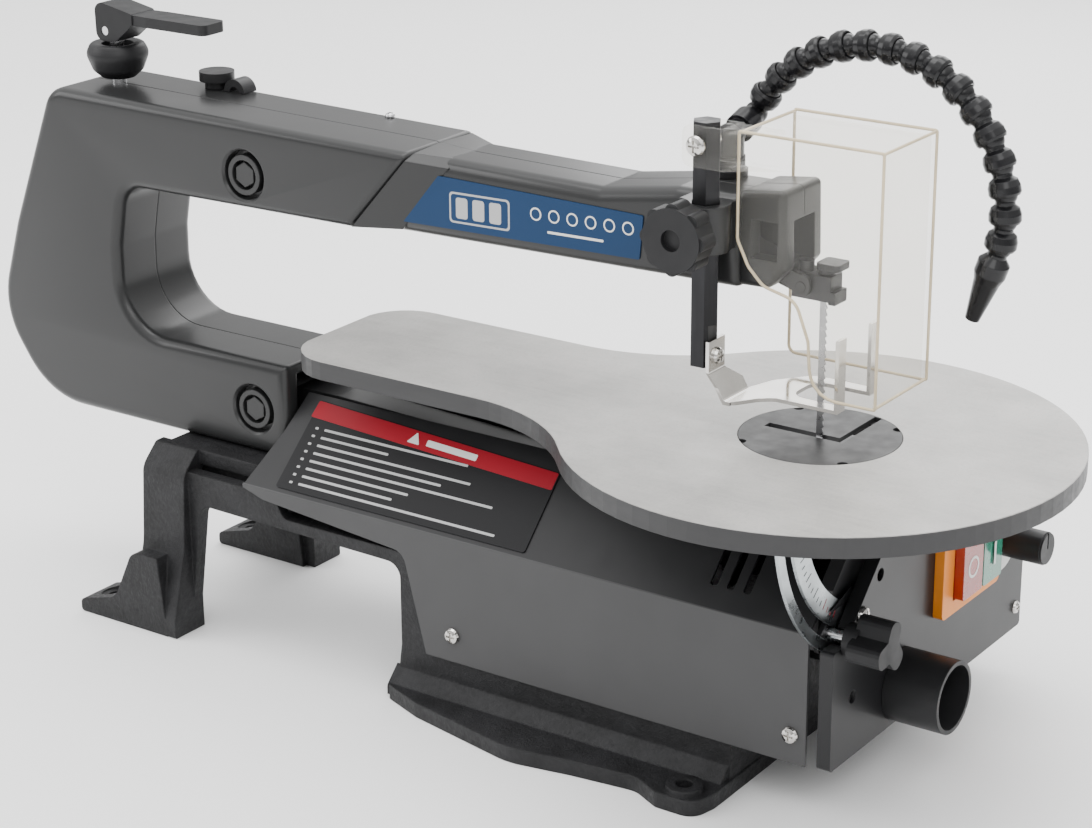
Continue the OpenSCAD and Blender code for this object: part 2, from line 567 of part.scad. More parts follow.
// ---- table ----
fillet_r = 92;
fillet_y = sqrt((table_r + fillet_r) * (table_r + fillet_r) - (neck_half + fillet_r) * (neck_half + fillet_r));
fillet_a = atan2(fillet_y, neck_half + fillet_r);
function table_outline(d) = concat(
  arc([0, 0], table_r - d, 180 - fillet_a, 360 + fillet_a, 60),
  arc([neck_half + fillet_r, fillet_y], fillet_r + d, 180 + fillet_a, 180, 10),
  arc([neck_half - 26, table_back - 30], 26 - d, 0, 80, 6),
  arc([-neck_half + 26, table_back - 30], 26 - d, 100, 180, 6),
  arc([-neck_half - fillet_r, fillet_y], fillet_r + d, 0, -fillet_a, 10));
module table() at_blade() color(alloy) {
  difference() {
    slab_z(-rim_depth, 0) polygon(table_outline(0));
    slab_z(-rim_depth - 1, -plate_t) difference() {
      polygon(table_outline(5));
      circle(r = insert_r + 5);
      // Stiffening ribs
      for (x = [-30, 30]) translate([x - 2, -130]) square([4, 400]);
      for (y = [-60, 60, 122, 220]) translate([-130, y - 2]) square([260, 4]);
    }
    translate([0, 0, -2.2]) cylinder(h = 3, r = insert_r, $fn = 96);
    translate([0, 0, -12]) cylinder(h = 14, r = insert_r - 6, $fn = 96);
    // Slot from the insert to the edge is left out: the blade threads through the insert
  }
}
module table_insert() at_blade() color(board) difference() {
  union() {
    translate([0, 0, -2.2]) cylinder(h = 2.2, r = insert_r - 0.3, $fn = 96);
    translate([0, 0, -5]) difference() {
      cylinder(h = 3, r = insert_r - 6.3, $fn = 96);
      translate([0, 0, -1]) cylinder(h = 5, r = insert_r - 9, $fn = 96);
    }
  }
  for (a = [45:90:315]) rotate([0, 0, a]) translate([insert_r - 0.5, 0, -3]) cylinder(h = 4, r = 2.6, $fn = 24);
  slab_z(-6, 1) polygon([[-3.2, 28], [-3.2, -13.5], [36, -13.5], [36, -9.5], [1.6, -9.5], [1.6, 28]]);
}
// Each trunnion: front face, rear face, outer radius
trunnion_ys = [[-31, -24, 44], [120, 128, 29]];
function ring_sector(r0, r1, a0, a1, n) = concat(arc([0, 0], r1, a0, a1, n), arc([0, 0], r0, a1, a0, n));
module table_trunnions() at_blade() color(alloy) for (y = trunnion_ys) slab_y(y[0], y[1]) difference() {
  intersection() {
    union() {
      polygon(ring_sector(y[2] - 10, y[2], 195, 345, 24));
      for (s = [-1, 1]) translate([s * (y[2] - 5) - 5, -18]) square([10, 14]);
    }
    circle(r = y[2], $fn = 96);
  }
  translate([-60, -rim_depth]) square([120, 60]);
}
quad_r = 97;
quad_w = 25;
quad_y0 = -33;
quad_y1 = -31.4;
lock_a = 240.5;
lock_r = 88;
lock_p = lock_r * [cos(lock_a), sin(lock_a)];
module tilt_quadrant() at_blade() color(steel) slab_y(quad_y0, quad_y1) difference() {
  union() {
    polygon(ring_sector(quad_r - quad_w, quad_r, 187, 244, 24));
    translate([-96, -rim_depth - 4]) square([34, 4]);
  }
  polygon(ring_sector(lock_r - 3.4, lock_r + 3.4, 190.5, lock_a, 16));
  translate(lock_p) circle(r = 3.4);
  translate(lock_r * [cos(190.5), sin(190.5)]) circle(r = 3.4);
}
// Saddle blocks; their left tops stay below the underside of the fully tilted table
module trunnion_saddles() at_blade() color(black) {
  slab_y(-31, -24) difference() {
    polygon([[-40, deck_z], [40, deck_z], [34, -31], [20, -36], [-20, -36], [-21, -38], [-40, -57]]);
    circle(r = 44.3, $fn = 96);
  }
  slab_y(120, 128) difference() {
    union() {
      polygon([[-40, deck_z], [-11.5, deck_z], [-11.5, -27.5], [-12.4, -28.5], [-13.2, -36.5], [-40, -63.3]]);
      polygon([[11.5, deck_z], [40, deck_z], [40, -40], [28, -18], [11.5, -18]]);
    }
    circle(r = 29.3, $fn = 96);
  }
  box([-40, -31, deck_z - 4], [40, 13, deck_z]);
  box([-40, 6, -112], [40, 13, deck_z - 3]);
  // Lug that the tilt lock clamps against, and studs that carry the front panel
  slab_y(-31, -28.6) polygon(rounded([[-52, -84, 3], [-34, -89, 0], [-34, -68, 3], [-40, -68, 3], [-52, -76, 3]]));
  box([-40, -31, -89], [-30, -28.6, -80]);
  box([-36, -31, -102], [-24, -24, deck_z - 3]);
  rod_along_y(-39, -30, -30, -98, 3);
  rod_along_y(-39, -30, 34, -86, 3);
}
module tilt_pointer() at_blade() color([0.75, 0.1, 0.1]) slab_y(-34, -33.4)
  polygon([[-24, -64], [-28, -58], [-46, -63.5], [-46, -64.5]]);
module tilt_lock_stud() at_blade() color(steel) rod_along_y(panel_y0 - 1, -31, lock_p[0], lock_p[1], 3);
module tilt_lock_knob() at_blade() color(black) {
  rod_along_y(panel_y0 - 8, panel_y0 - 1, lock_p[0], lock_p[1], 8);
  for (a = [0:120:240]) translate([lock_p[0], 0, lock_p[1]]) rotate([0, a + 20, 0])
    slab_y(panel_y0 - 23, panel_y0 - 6) polygon(rounded([[-6, -3, 3], [6, -3, 3], [5, 13, 4.5], [-5, 13, 4.5]], 4));
}

// ---- work holding ----
holder_z0 = 91;
holder_z1 = 113;
module hex_at(x, y, af) translate([x, y]) rotate(30) circle(r = af / 2 / cos(30), $fn = 6);
module rod_holder() at_blade() color(grey) difference() {
  union() {
    translate([-rod_x, rod_y, holder_z0]) cylinder(h = holder_z1 - holder_z0, r = 11.5);
    box([-rod_x, rod_y - 10, holder_z0], [-arm_half, rod_y + 14, holder_z1]);
    rod_along_x(-rod_x - 16, -rod_x, rod_y, 102, 8);
  }
  slab_z(holder_z0 - 1, holder_z1 + 1) hex_at(-rod_x, rod_y, rod_af + 0.7);
  box([-arm_half, 0, 80], [0, 80, 120]);
  rod_along_x(-rod_x - 17, -rod_x, rod_y, 102, 3.3);
}
lobes = 8;
module rod_clamp_knob() at_blade() color(black) difference() {
  union() {
    rod_along_x(-rod_x - 30, -rod_x - 17.2, rod_y, 102, 15);
    for (i = [0:lobes - 1]) translate([0, rod_y, 102]) rotate([i * 360 / lobes, 0, 0])
      rod_along_x(-rod_x - 29, -rod_x - 18.2, 0, 13, 3.8);
    rod_along_x(-rod_x - 18, -rod_x - 6.8, rod_y, 102, 3);
  }
  rod_along_x(-rod_x - 31, -rod_x - 27, rod_y, 102, 5);
}
rod_z0 = 36;
rod_z1 = 151;
module guide_rod() at_blade() color(black) difference() {
  slab_z(rod_z0, rod_z1) hex_at(-rod_x, rod_y, rod_af);
  // Flat that the foot is screwed to
  box([-rod_x - 8, rod_y - 8, rod_z0 - 1], [-rod_x + 8, rod_y - 4.6, 56]);
  rod_along_y(rod_y - 9, rod_y + 9, -rod_x + 1, 41, 2);
  rod_along_x(-rod_x - 9, -rod_x + 9, rod_y, guard_z, 2.46);
}
foot_t = 1.8;
foot_z = 19.6;
tab_y = rod_y - 4.7;
module foot_outline() {
  polygon(rounded([[-36, tab_y - 8, 0], [-36, 28, 6], [-24, 20, 8], [-19, 14, 6], [-19, -17, 0], [-12, -17, 0], [-12, -13, 0],
    [-12, 10, 8], [12, 10, 8], [12, -17, 0], [19, -17, 0], [19, 14, 10], [2, 27, 12], [-14, tab_y - 8, 6]]));
}
module hold_down_foot() at_blade() color(steel) difference() {
  union() {
    slab_z(foot_z, foot_z + foot_t) foot_outline();
    // Upturned ends of the fork
    for (x = [-19, 12]) box([x, -18.8, foot_z], [x + 7, -17 + eps, foot_z + 35]);
    // Ramp and the narrower tab on the rod
    intersection() {
      slab_x(-38, -14) polygon(rounded([[tab_y - foot_t, 34, 3], [tab_y - foot_t, 49, 0], [tab_y, 49, 0], [tab_y, 34, 5],
        [tab_y - 8, foot_z, 3], [tab_y - 12, foot_z, 0], [tab_y - 12, foot_z + foot_t, 0], [tab_y - 9, foot_z + foot_t, 2]]));
      slab_y(20, 50) polygon([[-38, 50], [-24, 50], [-24, 34], [-14, 27], [-14, 10], [-36, 10], [-36, 27], [-38, 34]]);
    }
  }
  rod_along_y(tab_y - 10, tab_y + 2, -rod_x + 1, 41, 2.4);
}
module foot_screw() at_blade() color(steel)
  translate([-rod_x + 1, tab_y - foot_t, 41]) facing_front() pan_screw(4, 2.6, 12);
guard_z = 141;
guard_t = 2;
guard_near = [[-41, 28, 1], [-8, 28, 14], [-6, 54, 8], [1, 72, 10], [18, 76, 10], [26, 84, 10], [32, 96, 6], [32, 146, 1], [-41, 146, 1]];
module blade_guard() at_blade() color([0.9, 0.88, 0.8, 0.35]) difference() {
  union() {
    slab_x(-guard_half, -guard_half + guard_t) polygon(rounded(guard_near));
    slab_x(guard_half - guard_t, guard_half) polygon(rounded([[-41, 28, 1], [32, 28, 4], [32, 146, 1], [-41, 146, 1]]));
    box([-guard_half, -41, 28], [guard_half, -41 + guard_t, 146]);
    box([-guard_half, -41, 146 - guard_t], [guard_half, 32, 146]);
    // Bracket round the guide rod
    slab_x(-guard_half, -guard_half + guard_t) polygon(rounded([[30, 131, 0], [52, 131, 4], [52, 150, 4], [30, 150, 0]]));
    slab_x(-rod_x - 9, -rod_x - 7) polygon(rounded([[32, 131, 0], [52, 131, 4], [52, 150, 4], [32, 150, 0]]));
    box([-rod_x - 9, 30, 131], [-guard_half + guard_t, 32, 150]);
    slab_z(131, 133) polygon([[-guard_half, 32], [-rod_x - 9, 32], [-guard_half, 8]]);
    slab_z(148, 150) polygon([[-guard_half, 32], [-rod_x - 9, 32], [-guard_half, 8]]);
  }
  rod_along_x(-rod_x - 10, -guard_half + 3, rod_y, guard_z, 2.4);
}
module guard_screw() at_blade() color(steel)
  translate([-rod_x - 9, rod_y, guard_z]) facing_left() pan_screw(4.8, 2.8, 18);

// ---- jointed air hose ----
seg_len = 12.5;
// Direction of travel along the hose, as an angle in the Y and Z plane
function seg_dir(i) = 120.5 + 10.5 * i;
// Centre of each ball, as Y and Z
function seg_p(i) = i == 0 ? [fit_p[1], 138.5] : seg_p(i - 1) + seg_len * [cos(seg_dir(i - 1)), sin(seg_dir(i - 1))];
ball_r = 5.6;
// One link: a ball at the origin and a socket whose centre is one pitch up
module hose_segment() difference() {
  union() {
    sphere(r = ball_r);
    rotate_extrude() polygon([[0, 2], [4.6, 2], [4.6, 4.6], [6.6, 6.2], [hose_r, 9], [hose_r, 12.1],
      [hose_r - 0.8, 13.4], [0, 13.4]]);
  }
  translate([0, 0, seg_len]) sphere(r = ball_r + 0.4);
  translate([0, 0, -10]) cylinder(h = 30, r = 2.4);
}
module place_segment(i) translate([hose_x, seg_p(i)[0], seg_p(i)[1]])
  rotate([seg_dir(i) - 90, 0, 0]) children();
module hose_run(first, last) at_blade() color(black) for (i = [first:last]) place_segment(i) hose_segment();
fit_p = [12, 59, 114];
lean = atan2(hose_x - fit_p[0], seg_p(0)[1] - fit_p[2] - 17.3);
module hose_fitting() at_blade() color(black) {
  difference() {
    union() {
      translate(fit_p) cylinder(h = 3, r = 9);
      for (i = [0:3]) translate(fit_p + [0, 0, 2 + i * 2]) cylinder(h = 1.2, r = 7.6);
      translate(fit_p) cylinder(h = 9, r = 6.4);
    }
    translate(fit_p + [0, 0, -1]) cylinder(h = 30, r = 2.4);
  }
}
module hose_lower() {
  hose_run(0, 2);
  // Elbow and leaning link that lead from the fitting out to the hose's plane
  at_blade() color(black) translate([fit_p[0], fit_p[1], fit_p[2] + 9.3]) {
    cylinder(h = 8, r = 7);
    translate([0, 0, 8]) sphere(r = 7);
    translate([0, 0, 8]) rotate([0, lean, 0]) cylinder(h = 14, r = 5.2);
    translate([0, 0, 8]) rotate([0, lean, 0]) translate([0, 0, 9]) cylinder(h = 9, r = 7.1);
    translate([0, 0, 8]) rotate([0, lean, 0]) translate([0, 0, 17]) cylinder(h = 9, r = 5.2);
  }
}
module hose_middle() hose_run(3, 5);
module hose_upper() hose_run(6, 8);
module hose_front() hose_run(9, 11);
module hose_end() hose_run(12, 15);
module hose_nozzle() at_blade() color(black) place_segment(16) difference() {
  union() {
    sphere(r = ball_r);
    rotate_extrude() polygon([[0, 2], [4.6, 2], [4.6, 4.6], [hose_r, 8], [hose_r, 14], [6.2, 18], [3.4, 38], [0, 38]]);
  }
  translate([0, 0, -10]) cylinder(h = 60, r = 2);
}

base_casting();
frame_shell_left();
frame_shell_right();
frame_pivot_pins();
pivot_caps();
frame_screws();
arm_label();
side_cover();
warning_panel();
front_panel();
motor_cover();
cover_screws();
motor_body();
motor_shaft();
eccentric();
drive_link();
control_box();
switch_plate();
red_button();
green_button();
speed_dial();
speed_knob();
dust_port();
cable_gland();
air_bellows();
air_tube();
top_cap();
upper_arm();
lower_arm();
arm_bushes();
lower_arm_bush();
tension_rod();
tension_spring();
tension_collar();
tension_lever();
upper_blade_clamp();
clamp_thumb_tab();
lower_blade_clamp();
blade();
table();
table_insert();
table_trunnions();
tilt_quadrant();
trunnion_saddles();
tilt_pointer();
tilt_lock_stud();
tilt_lock_knob();
rod_holder();
rod_clamp_knob();
guide_rod();
hold_down_foot();
foot_screw();
blade_guard();
guard_screw();
hose_fitting();
hose_lower();
hose_middle();
hose_upper();
hose_front();
hose_end();
hose_nozzle();
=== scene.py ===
"""Looks of the scroll saw: rounded housing, finishes, labels, clear guard, floor and light.

Lengths are written in millimetres about the point where the blade passes the table top,
with X to the machine's right, Y to its back and Z up. place() turns them into row metres.
"""
import math

import bmesh
import bpy
from mathutils import Matrix, Vector


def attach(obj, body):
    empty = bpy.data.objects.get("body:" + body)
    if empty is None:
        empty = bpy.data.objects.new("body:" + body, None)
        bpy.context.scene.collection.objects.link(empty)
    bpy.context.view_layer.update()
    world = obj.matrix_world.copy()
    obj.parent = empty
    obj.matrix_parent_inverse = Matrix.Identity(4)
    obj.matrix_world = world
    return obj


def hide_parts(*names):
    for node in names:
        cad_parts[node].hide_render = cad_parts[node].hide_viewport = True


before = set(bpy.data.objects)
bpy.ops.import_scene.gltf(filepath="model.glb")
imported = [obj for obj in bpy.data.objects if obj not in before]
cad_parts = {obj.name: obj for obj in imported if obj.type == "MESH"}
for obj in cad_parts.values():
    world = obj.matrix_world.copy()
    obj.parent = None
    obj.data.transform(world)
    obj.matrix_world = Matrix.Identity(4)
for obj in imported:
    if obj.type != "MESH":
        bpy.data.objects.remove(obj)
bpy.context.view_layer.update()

TABLE_H = 168.0          # table top above the bench
BOLT_TO_BLADE = 26.0     # front bench bolts to blade

# Camera of the photograph: where it stands about the blade, where it looks, its lens
CAMERA_AT = (-1044.963, -572.043, 445.646)
YAW, PITCH, ROLL = 34.8425, 20.1351, -0.3537     # degrees
LENS, SENSOR = 89.61, 36
FAR_CLIP = 20                                    # metres


def place(x, y, z):
    """Row position in metres of a point given about the blade."""
    return Vector((x / 1000, (y - BOLT_TO_BLADE) / 1000, (z + TABLE_H) / 1000))


# ---------------------------------------------------------------- camera
def add_camera():
    """The scene's camera, turned by yaw, then pitch down, then roll."""
    yaw, pitch, roll = (math.radians(a) for a in (YAW, PITCH, ROLL))
    forward = Vector((math.cos(yaw) * math.cos(pitch), math.sin(yaw) * math.cos(pitch),
                      -math.sin(pitch)))
    right = Vector((math.sin(yaw), -math.cos(yaw), 0))
    up = right.cross(forward)
    across = math.cos(roll) * right + math.sin(roll) * up
    upward = -math.sin(roll) * right + math.cos(roll) * up
    data = bpy.data.cameras.new("camera")
    data.sensor_width = SENSOR
    data.lens = LENS
    data.clip_end = FAR_CLIP
    obj = bpy.data.objects.new("camera", data)
    turn = Matrix((across, upward, -forward)).transposed().to_4x4()
    obj.matrix_world = Matrix.Translation(place(*CAMERA_AT)) @ turn
    bpy.context.scene.collection.objects.link(obj)
    bpy.context.scene.camera = obj


add_camera()


# ---------------------------------------------------------------- materials
class Shader:
    """Small helper around a Principled material."""

    def __init__(self, name, color, rough, metal=0.0):
        self.mat = bpy.data.materials.new(name)
        self.mat.use_nodes = True
        self.tree = self.mat.node_tree
        self.bsdf = self.tree.nodes["Principled BSDF"]
        self.bsdf.inputs["Base Color"].default_value = (*color, 1)
        self.bsdf.inputs["Roughness"].default_value = rough
        self.bsdf.inputs["Metallic"].default_value = metal
        self.coords = self.tree.nodes.new("ShaderNodeTexCoord")
        self.color = color
        self.rough = rough

    def node(self, kind, **values):
        """New node; each value goes to the input of that name, or else to the attribute."""
        n = self.tree.nodes.new(kind)
        for key, value in values.items():
            if key in n.inputs:
                n.inputs[key].default_value = value
            else:
                setattr(n, key, value)
        return n

    def link(self, a, b):
        self.tree.links.new(a, b)

    def noise(self, scale, detail=3.0, stretch=(1, 1, 1), rough=0.5):
        """Noise over the piece's own coordinates, stretched along the small axes."""
        mapping = self.node("ShaderNodeMapping")
        mapping.inputs["Scale"].default_value = stretch
        self.link(self.coords.outputs["Object"], mapping.inputs["Vector"])
        n = self.node("ShaderNodeTexNoise", Scale=scale, Detail=detail, Roughness=rough)
        self.link(mapping.outputs["Vector"], n.inputs["Vector"])
        return n.outputs["Fac"]

    def ramp(self, fac, low, high, a=0.0, b=1.0):
        """fac from a..b to low..high."""
        n = self.node("ShaderNodeMapRange")
        n.inputs["From Min"].default_value = a
        n.inputs["From Max"].default_value = b
        n.inputs["To Min"].default_value = low
        n.inputs["To Max"].default_value = high
        self.link(fac, n.inputs["Value"])
        return n.outputs["Result"]

    def mix(self, fac, a, b):
        n = self.node("ShaderNodeMix", data_type="RGBA")
        for value, socket in ((a, n.inputs[6]), (b, n.inputs[7])):
            if isinstance(value, tuple):
                socket.default_value = (*value, 1)
            else:
                self.link(value, socket)
        self.link(fac, n.inputs[0])
        return n.outputs[2]

    def vary_color(self, fac, amount, a=0.3, b=0.7):
        low = tuple(c * (1 - amount) for c in self.color)
        high = tuple(min(1, c * (1 + amount)) for c in self.color)
        out = self.mix(self.ramp(fac, 0, 1, a, b), low, high)
        self.link(out, self.bsdf.inputs["Base Color"])
        return out

    def vary_rough(self, fac, amount, a=0.3, b=0.7):
        out = self.ramp(fac, self.rough - amount, self.rough + amount, a, b)
        self.link(out, self.bsdf.inputs["Roughness"])

    def relief(self, fac, distance_mm, strength=1.0, edge_mm=0.6):
        """Bump over softly rounded edges."""
        last = None
        if edge_mm:
            bevel = self.node("ShaderNodeBevel", samples=4)
            bevel.inputs["Radius"].default_value = edge_mm / 1000
            last = bevel.outputs["Normal"]
        if fac is not None:
            bump = self.node("ShaderNodeBump", Strength=strength, Distance=distance_mm / 1000)
            self.link(fac, bump.inputs["Height"])
            if last:
                self.link(last, bump.inputs["Normal"])
            last = bump.outputs["Normal"]
        self.link(last, self.bsdf.inputs["Normal"])
        return self


def satin_paint(name, color, rough=0.38, edge=0.8, peel=0.025, gloss=0.35):
    """Sprayed paint with a little orange peel and a thin coat over it."""
    s = Shader(name, color, rough)
    s.bsdf.inputs["Specular IOR Level"].default_value = gloss
    s.vary_color(s.noise(14, 2), 0.04)
    s.vary_rough(s.noise(30, 2), 0.02)
    s.bsdf.inputs["Coat Weight"].default_value = 0.12
    s.bsdf.inputs["Coat Roughness"].default_value = 0.18
    return s.relief(s.noise(1400, 2), peel, 0.15, edge).mat


def cover_paint_and_shadow(name, side, slope, ridge):
    """Sheet cover in side, its own colour; the slope above the ridge (metres) gets the darker slope
    colour, a painted shadow of the table over it.
    """
    s = Shader(name, side, 0.42)
    s.bsdf.inputs["Specular IOR Level"].default_value = 0.35
    split = s.node("ShaderNodeSeparateXYZ")
    s.link(s.coords.outputs["Object"], split.inputs[0])
    above = s.node("ShaderNodeMath", operation="GREATER_THAN")
    above.inputs[1].default_value = ridge
    s.link(split.outputs["Z"], above.inputs[0])
    clouds = s.noise(18, 4)
    low = s.mix(clouds, tuple(c * 0.92 for c in side), tuple(c * 1.08 for c in side))
    # painted shadow: the slope's darker colour stands in for the table's shadow
    high = s.mix(clouds, tuple(c * 0.9 for c in slope), tuple(c * 1.1 for c in slope))
    s.link(s.mix(above.outputs[0], low, high), s.bsdf.inputs["Base Color"])
    s.vary_rough(s.noise(60, 3), 0.05)
    return s.relief(s.noise(900, 2), 0.05, 0.25, 0.5).mat


def rough_casting(name, color):
    """Painted sand casting: fine grain over broad lumps."""
    s = Shader(name, color, 0.5)
    s.bsdf.inputs["Specular IOR Level"].default_value = 0.3
    grain = s.noise(420, 6, rough=0.7)
    lumps = s.noise(70, 3)
    s.vary_color(lumps, 0.35)
    s.vary_rough(grain, 0.16)
    both = s.node("ShaderNodeMath", operation="ADD")
    s.link(grain, both.inputs[0])
    s.link(lumps, both.inputs[1])
    return s.relief(both.outputs[0], 0.9, 0.75, 1.6).mat


def moulded(name, color, rough=0.45, edge=0.5, grain=0.04):
    """Moulded plastic or rubber with a fine grain."""
    s = Shader(name, color, rough)
    s.bsdf.inputs["Specular IOR Level"].default_value = 0.3
    s.vary_color(s.noise(40, 3), 0.10)
    s.vary_rough(s.noise(120, 2), 0.06)
    return s.relief(s.noise(1500, 2), grain, 0.35, edge).mat


def printed(name, color, rough=0.42):
    """Smooth printed film."""
    s = Shader(name, color, rough)
    s.bsdf.inputs["Specular IOR Level"].default_value = 0.22
    s.vary_color(s.noise(25, 2), 0.03)
    s.vary_rough(s.noise(40, 2), 0.02)
    return s.mat


def metal(name, color, rough=0.3, stretch=(1, 1, 1), scale=300, edge=0.3, bump=0.02):
    """Bare or plated metal with a faint grain."""
    s = Shader(name, color, rough, 1.0)
    streak = s.noise(scale, 3, stretch)
    s.vary_color(s.noise(50, 3), 0.10)
    s.vary_rough(streak, 0.08)
    return s.relief(streak, bump, 0.3, edge).mat


def table_material():
    """Ground and slightly mottled top; the rim and underside are painted dark."""
    s = Shader("table_cast_iron", (0.40, 0.385, 0.37), 0.36, 0.0)
    split = s.node("ShaderNodeSeparateXYZ")
    s.link(s.coords.outputs["Object"], split.inputs[0])
    height = s.node("ShaderNodeMath", operation="GREATER_THAN")
    height.inputs[1].default_value = (TABLE_H - 0.4) / 1000
    s.link(split.outputs["Z"], height.inputs[0])
    brushed = s.noise(260, 5, (1.0, 0.12, 1.0), 0.65)
    clouds = s.noise(26, 6, rough=0.62)
    fine = s.noise(700, 3)
    top = s.mix(s.ramp(clouds, 0, 1, 0.32, 0.68), (0.29, 0.283, 0.272), (0.41, 0.40, 0.385))
    top = s.mix(s.ramp(brushed, 0, 0.55, 0.35, 0.7), top, (0.47, 0.46, 0.44))
    top = s.mix(s.ramp(fine, 0, 0.25, 0.5, 0.75), top, (0.20, 0.195, 0.19))
    s.link(s.mix(height.outputs[0], (0.018, 0.018, 0.019), top), s.bsdf.inputs["Base Color"])
    metallic = s.ramp(height.outputs[0], 0.0, 0.35)
    s.link(metallic, s.bsdf.inputs["Metallic"])
    s.link(s.ramp(brushed, 0.34, 0.5, 0.3, 0.7), s.bsdf.inputs["Roughness"])
    return s.relief(brushed, 0.02, 0.4, 0.5).mat


def clear_plastic(name, tint, body, rough=0.04):
    """Thin clear sheet: mostly transparent, with a Fresnel gloss and a faint milky body."""
    mat = bpy.data.materials.new(name)
    mat.use_nodes = True
    tree = mat.node_tree
    tree.nodes.clear()
    out = tree.nodes.new("ShaderNodeOutputMaterial")
    clear = tree.nodes.new("ShaderNodeBsdfTransparent")
    clear.inputs[0].default_value = (*tint, 1)
    gloss = tree.nodes.new("ShaderNodeBsdfPrincipled")
    gloss.inputs["Base Color"].default_value = (0.8, 0.79, 0.76, 1)
    gloss.inputs["Roughness"].default_value = rough
    fresnel = tree.nodes.new("ShaderNodeLayerWeight")
    fresnel.inputs["Blend"].default_value = 0.28
    coords = tree.nodes.new("ShaderNodeTexCoord")
    haze = tree.nodes.new("ShaderNodeTexNoise")
    haze.inputs["Scale"].default_value = 22
    haze.inputs["Detail"].default_value = 4
    tree.links.new(coords.outputs["Object"], haze.inputs["Vector"])
    cloud = tree.nodes.new("ShaderNodeMapRange")
    cloud.inputs["From Min"].default_value = 0.35
    cloud.inputs["From Max"].default_value = 0.75
    cloud.inputs["To Min"].default_value = body
    cloud.inputs["To Max"].default_value = body + 0.02
    tree.links.new(haze.outputs["Fac"], cloud.inputs["Value"])
    total = tree.nodes.new("ShaderNodeMath")
    total.operation = "MULTIPLY_ADD"
    total.inputs[1].default_value = 0.13
    tree.links.new(fresnel.outputs["Facing"], total.inputs[0])
    tree.links.new(cloud.outputs["Result"], total.inputs[2])
    blend = tree.nodes.new("ShaderNodeMixShader")
    tree.links.new(total.outputs[0], blend.inputs[0])
    tree.links.new(clear.outputs[0], blend.inputs[1])
    tree.links.new(gloss.outputs[0], blend.inputs[2])
    tree.links.new(blend.outputs[0], out.inputs["Surface"])
    return mat


def translucent(name, color, rough=0.12):
    """Glossy tinted plastic that lets some light in."""
    s = Shader(name, color, rough)
    s.vary_color(s.noise(90, 3), 0.12)
    s.bsdf.inputs["Transmission Weight"].default_value = 0.25
    s.bsdf.inputs["Coat Weight"].default_value = 0.6
    s.bsdf.inputs["Coat Roughness"].default_value = 0.06
    return s.relief(None, 0, 0, 0.5).mat


def floor_material():
    s = Shader("floor", (0.93, 0.93, 0.93), 0.6)
    s.vary_color(s.noise(3, 2), 0.01)
    return s.mat


COVER_X, RIDGE_Z = -56, -74          # side cover: its side, and the ridge under its slope

M = {
    "frame": satin_paint("frame_paint", (0.019, 0.0193, 0.0196), 0.3, 1.0, gloss=0.3),
    "cover": satin_paint("motor_cover_paint", (0.04, 0.04, 0.041), 0.42, 0.5),
    # side cover: the second colour is a painted shadow of the table on the slope above the ridge
    "side": cover_paint_and_shadow("side_cover_paint_and_shadow", (0.046, 0.046, 0.047), (0.012, 0.012, 0.013),
                        (TABLE_H + RIDGE_Z + 0.5) / 1000),
    "panel": satin_paint("panel_paint", (0.011, 0.011, 0.012), 0.36, 0.5, gloss=0.25),
    "casting": rough_casting("base_casting_paint", (0.012, 0.012, 0.013)),
    "bracket": satin_paint("bracket_paint", (0.015, 0.015, 0.016), 0.42, 0.6),
    "black": moulded("black_plastic", (0.014, 0.014, 0.015), 0.42),
    "gloss": moulded("gloss_black_plastic", (0.008, 0.008, 0.009), 0.2, 0.5, 0.02),
    "knob": moulded("knob_plastic", (0.011, 0.011, 0.012), 0.5),
    "rubber": moulded("rubber", (0.018, 0.018, 0.018), 0.7),
    "rod": metal("blackened_rod", (0.035, 0.035, 0.037), 0.42, (1, 1, 0.1), 300),
    "clamp": metal("blackened_clamp", (0.05, 0.05, 0.053), 0.4),
    "steel": metal("plated_steel", (0.62, 0.62, 0.63), 0.24),
    "chrome": metal("chrome_plate", (0.60, 0.585, 0.56), 0.14, scale=60),
    "zinc": metal("zinc_plate", (0.42, 0.45, 0.46), 0.3, scale=120),
    "alloy": metal("cast_alloy", (0.5, 0.5, 0.51), 0.42),
    "bronze": metal("sintered_bronze", (0.5, 0.33, 0.14), 0.4),
    "blade": metal("blade_steel", (0.42, 0.42, 0.43), 0.3),
    "insert": moulded("insert_plastic", (0.026, 0.026, 0.027), 0.42),
    "table": table_material(),
    "guard": clear_plastic("guard_sheet", (0.985, 0.98, 0.965), 0.012),
    "amber": moulded("guard_edge", (0.62, 0.52, 0.36), 0.25, 0, 0.01),
    "orange": moulded("orange_plastic", (0.80, 0.25, 0.025), 0.35),
    "red": translucent("red_lens", (0.42, 0.018, 0.012)),
    "green": translucent("green_lens", (0.04, 0.26, 0.17)),
    "white": printed("white_print", (0.72, 0.72, 0.70)),
    "red_print": printed("red_print", (0.30, 0.005, 0.016)),
    "blue_print": printed("blue_print", (0.004, 0.030, 0.088)),
    "dark_print": printed("dark_print", (0.005, 0.005, 0.006)),
    "grey_print": printed("grey_print", (0.42, 0.42, 0.42)),
    "tube": moulded("air_tube", (0.45, 0.44, 0.38), 0.3),
}

